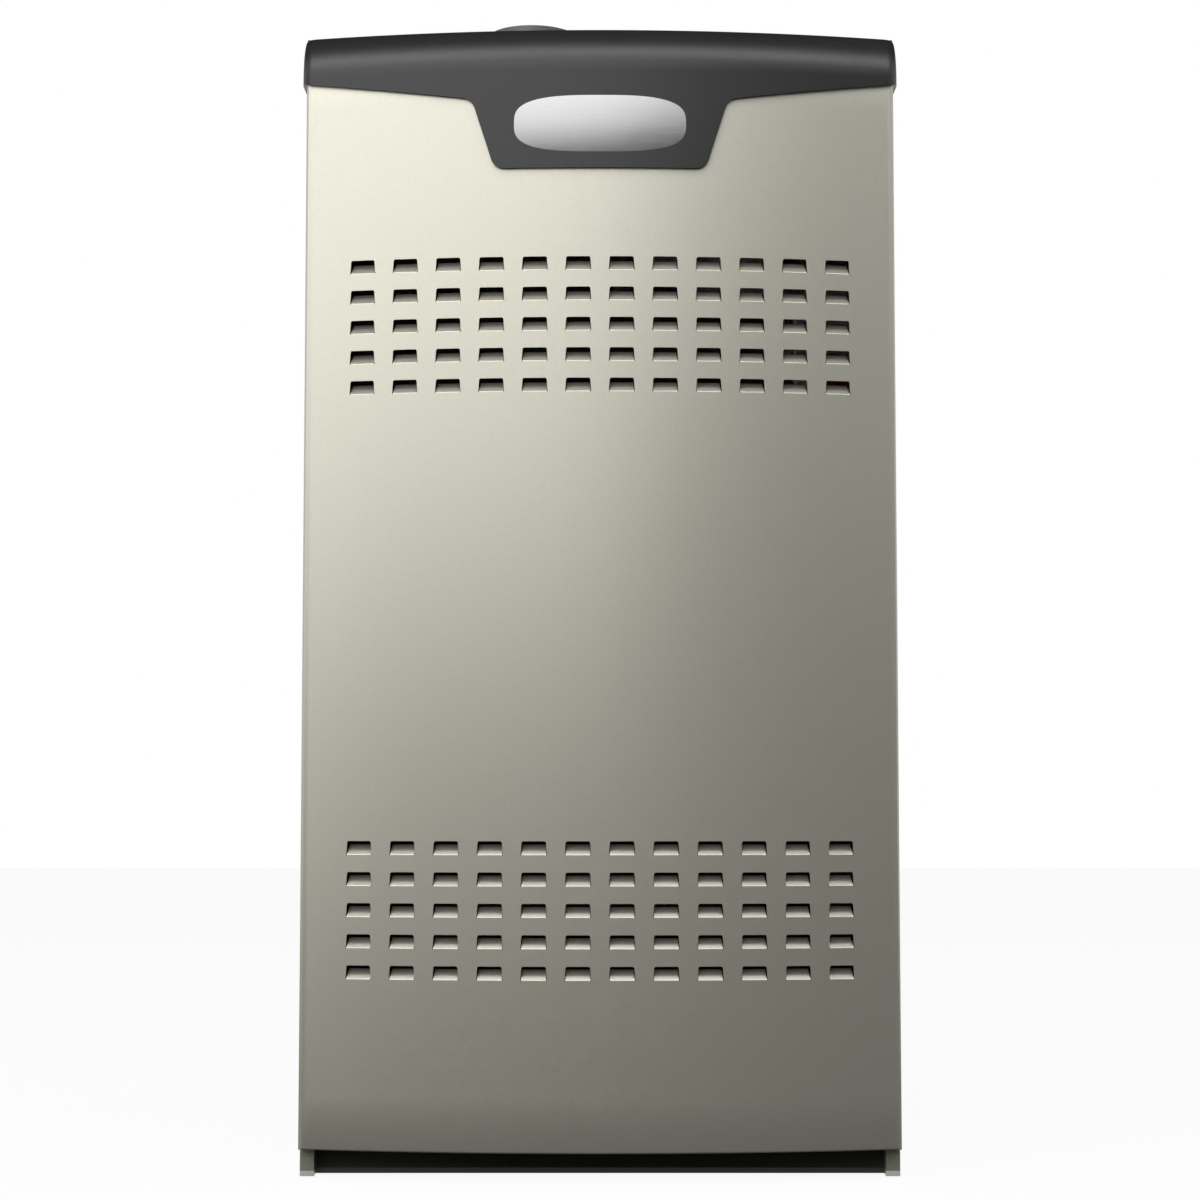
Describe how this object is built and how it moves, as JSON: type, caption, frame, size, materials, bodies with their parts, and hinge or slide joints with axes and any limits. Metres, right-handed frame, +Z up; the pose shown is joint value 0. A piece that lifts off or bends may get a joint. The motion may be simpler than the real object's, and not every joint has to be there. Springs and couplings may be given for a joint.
{
  "type": "forced air gas furnace",
  "caption": "Upflow condensing gas furnace: bowed louvred front panel, dark top cap, top vent outlet, supply flange, base return opening, blower and heat exchangers.",
  "frame": {"origin": "middle of the cabinet's footprint on the floor", "axes": "+Z up, the bowed front panel faces -Y, the vent outlet is on the -X half"},
  "size_m": [0.451, 0.7486, 0.8818],
  "materials": {
    "casing_paint": "satin metallic beige-grey powder coat",
    "toe_paint": "matt dark paint",
    "galvanised": "galvanised sheet",
    "foil_insulation": "foil-faced insulation",
    "zinc_hardware": "zinc plated",
    "black_rubber": "matt",
    "black_plastic": "fine grained",
    "cap_plastic": "fine grained charcoal",
    "badge_metal": "brushed, blank",
    "aluminised_steel": "aluminised, dull",
    "coil_metal": "tubes and fins",
    "burner_steel": "bare steel",
    "black_iron": "black iron pipe",
    "brass": "machined",
    "cast_aluminium": "die cast",
    "red_plastic": "glossy",
    "white_ceramic": "unglazed",
    "limit_body": "moulded",
    "wheel_plastic": "moulded",
    "shaft_steel": "ground",
    "motor_paint": "satin",
    "vent_plastic": "smooth grey",
    "wheel_steel": "galvanised",
    "clear_glass": "clear",
    "circuit_board": "lacquered",
    "transformer_iron": "varnished laminations",
    "white_plastic": "moulded",
    "wire_insulation": "wire sleeves"
  },
  "bodies": {
    "cabinet": {"cabinet_wrapper": "casing_paint", "base_pan": "galvanised", "toe_rail": "toe_paint", "top_panel": "casing_paint", "supply_flange": "galvanised", "blower_deck": "galvanised", "vestibule_panel": "galvanised", "cabinet_lining": "foil_insulation", "cabinet_screws": "zinc_hardware", "hole_grommets": "black_rubber", "catch_sockets": "black_plastic", "heat_exchanger": "aluminised_steel", "collector_box": "aluminised_steel", "secondary_coil": "coil_metal", "cold_end_header": "black_plastic", "burner_box": "galvanised", "burner_cover": "galvanised", "burners": "burner_steel", "gas_manifold": "black_iron", "gas_orifices": "brass", "gas_valve": "cast_aluminium", "ignitor": "white_ceramic", "flame_sensor": "white_ceramic", "rollout_switches": "black_plastic", "limit_switch": "limit_body", "inducer_gasket": "black_rubber", "inducer_housing": "cast_aluminium", "inducer_motor": "motor_paint", "exhaust_pipe": "vent_plastic", "exhaust_coupling": "vent_plastic", "intake_coupling": "vent_plastic", "pressure_switch": "black_plastic", "rubber_hoses": "black_rubber", "condensate_trap": "black_plastic", "blower_housing": "galvanised", "blower_motor": "motor_paint", "motor_mount": "galvanised", "blower_door": "galvanised", "sight_glasses": "clear_glass", "control_box": "galvanised", "control_board": "circuit_board", "transformer": "transformer_iron", "junction_box": "galvanised", "door_switch": "black_plastic", "wiring_harness": "wire_insulation"},
    "front_panel_body": {"front_panel": "casing_paint", "panel_stiffeners": "galvanised", "panel_pad": "foil_insulation", "panel_gaskets": "black_rubber", "catch_studs": "zinc_hardware", "top_cap": "cap_plastic", "badge_plate": "badge_metal"},
    "blower_rotor": {"blower_wheel": "wheel_steel", "blower_shaft": "shaft_steel"},
    "inducer_rotor": {"inducer_wheel": "wheel_plastic", "inducer_shaft": "shaft_steel"},
    "gas_knob": {"gas_valve_knob": "red_plastic"},
    "reset_left": {"reset_button_left": "red_plastic"},
    "reset_right": {"reset_button_right": "red_plastic"},
    "door_plunger": {"switch_plunger": "white_plastic"}
  },
  "joints": [
    {"name": "front_panel_slide", "type": "slide", "parent": "cabinet", "child": "front_panel_body", "axis": [0, -1, 0], "range_m": [0, 0.3]},
    {"name": "door_plunger_slide", "type": "slide", "parent": "cabinet", "child": "door_plunger", "axis": [0, -1, 0], "range_m": [0, 0.004]},
    {"name": "blower_spin", "type": "hinge", "parent": "cabinet", "child": "blower_rotor", "pos_m": [0, 0.04, 0.176], "axis": [1, 0, 0], "continuous": true},
    {"name": "inducer_spin", "type": "hinge", "parent": "cabinet", "child": "inducer_rotor", "pos_m": [-0.135, -0.2197, 0.48], "axis": [0, 1, 0], "continuous": true},
    {"name": "gas_knob_turn", "type": "hinge", "parent": "cabinet", "child": "gas_knob", "pos_m": [0.175, -0.3227, 0.6], "axis": [0, -1, 0], "range_deg": [0, 90]},
    {"name": "reset_left_press", "type": "slide", "parent": "cabinet", "child": "reset_left", "axis": [0, 1, 0], "range_m": [0, 0.0015], "stiffness_N_per_m": 400, "springref_m": -0.001},
    {"name": "reset_right_press", "type": "slide", "parent": "cabinet", "child": "reset_right", "axis": [0, 1, 0], "range_m": [0, 0.0015], "stiffness_N_per_m": 400, "springref_m": -0.001}
  ],
  "couplings": [
    {"joint": "door_plunger_slide", "follows": "front_panel_slide", "ratio": 0.013333}
  ]
}
